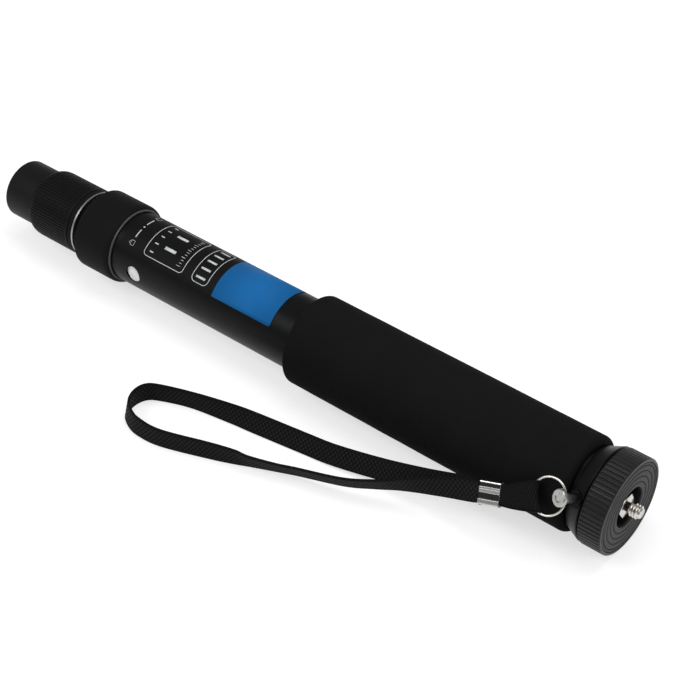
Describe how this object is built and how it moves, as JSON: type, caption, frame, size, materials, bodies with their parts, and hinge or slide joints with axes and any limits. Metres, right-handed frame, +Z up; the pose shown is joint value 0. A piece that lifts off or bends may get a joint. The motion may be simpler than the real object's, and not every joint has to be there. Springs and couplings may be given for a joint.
{
  "type": "camera monopod",
  "caption": "Folded telescoping camera monopod with twist lock collars, a foam grip, a ribbed thumb wheel round a camera screw, a rubber foot and a wrist strap.",
  "frame": {"origin": "middle of the folded monopod's length, straight under its axis, on the surface that it lies on", "axes": "+X along the axis towards the camera screw, +Z up, -Y towards the wrist strap"},
  "size_m": [0.3656, 0.1033, 0.045],
  "materials": {
    "black_tube": "satin black anodised",
    "label_film": "matte printed film",
    "grip_foam": "fine closed-cell foam",
    "dark_plastic": "satin moulded plastic",
    "wheel_plastic": "satin moulded plastic",
    "pale_plastic": "natural acetal",
    "bright_steel": "bright plated steel",
    "bright_ring": "polished",
    "collar_metal": "dark anodised",
    "black_rubber": "matte moulded rubber",
    "strap_braid": "flat woven braid"
  },
  "bodies": {
    "grip_section": {"main_tube": "black_tube", "tube_label": "label_film", "foam_grip": "grip_foam", "main_lock_bush": "dark_plastic", "bush_rivet": "bright_steel", "main_lock_ferrule": "pale_plastic", "head_base": "dark_plastic", "head_pin": "bright_steel", "camera_screw": "bright_steel", "screw_nut": "bright_steel", "friction_washer": "pale_plastic", "strap_stud": "bright_steel", "stud_washer": "bright_steel"},
    "main_lock": {"main_lock_collar": "collar_metal", "main_collar_sleeve": "black_rubber"},
    "head_wheel": {"thumb_wheel": "wheel_plastic", "face_pad": "black_rubber"},
    "middle_section": {"middle_tube": "black_tube", "middle_guide_bush": "pale_plastic", "lower_lock_bush": "dark_plastic", "lower_lock_ferrule": "pale_plastic", "trim_ring": "bright_ring"},
    "lower_lock": {"lower_lock_collar": "dark_plastic", "lower_collar_sleeve": "black_rubber"},
    "lower_section": {"lower_tube": "black_tube", "lower_guide_bush": "pale_plastic", "foot_plug": "dark_plastic", "rubber_foot": "black_rubber"},
    "wrist_strap": {"strap_ring": "bright_steel", "strap_tab": "strap_braid", "strap_crimp": "bright_steel", "strap_loop": "strap_braid"}
  },
  "joints": [
    {"name": "main_lock_twist", "type": "hinge", "parent": "grip_section", "child": "main_lock", "pos_m": [-0.117, 0, 0.0225], "axis": [-1, 0, 0], "range_deg": [0, 65]},
    {"name": "wheel_spin", "type": "hinge", "parent": "grip_section", "child": "head_wheel", "pos_m": [0.171, 0, 0.0225], "axis": [1, 0, 0], "continuous": true},
    {"name": "middle_slide", "type": "slide", "parent": "grip_section", "child": "middle_section", "axis": [-1, 0, 0], "range_m": [0, 0.2]},
    {"name": "lower_lock_twist", "type": "hinge", "parent": "middle_section", "child": "lower_lock", "pos_m": [-0.148, 0, 0.0225], "axis": [-1, 0, 0], "range_deg": [0, 65]},
    {"name": "lower_slide", "type": "slide", "parent": "middle_section", "child": "lower_section", "axis": [-1, 0, 0], "range_m": [0, 0.23]},
    {"name": "strap_swing", "type": "hinge", "parent": "grip_section", "child": "wrist_strap", "pos_m": [0.15943, -0.02272, 0.03458], "axis": [-0.3972, 0.5678, 0.721], "range_deg": [0, 60]}
  ]
}
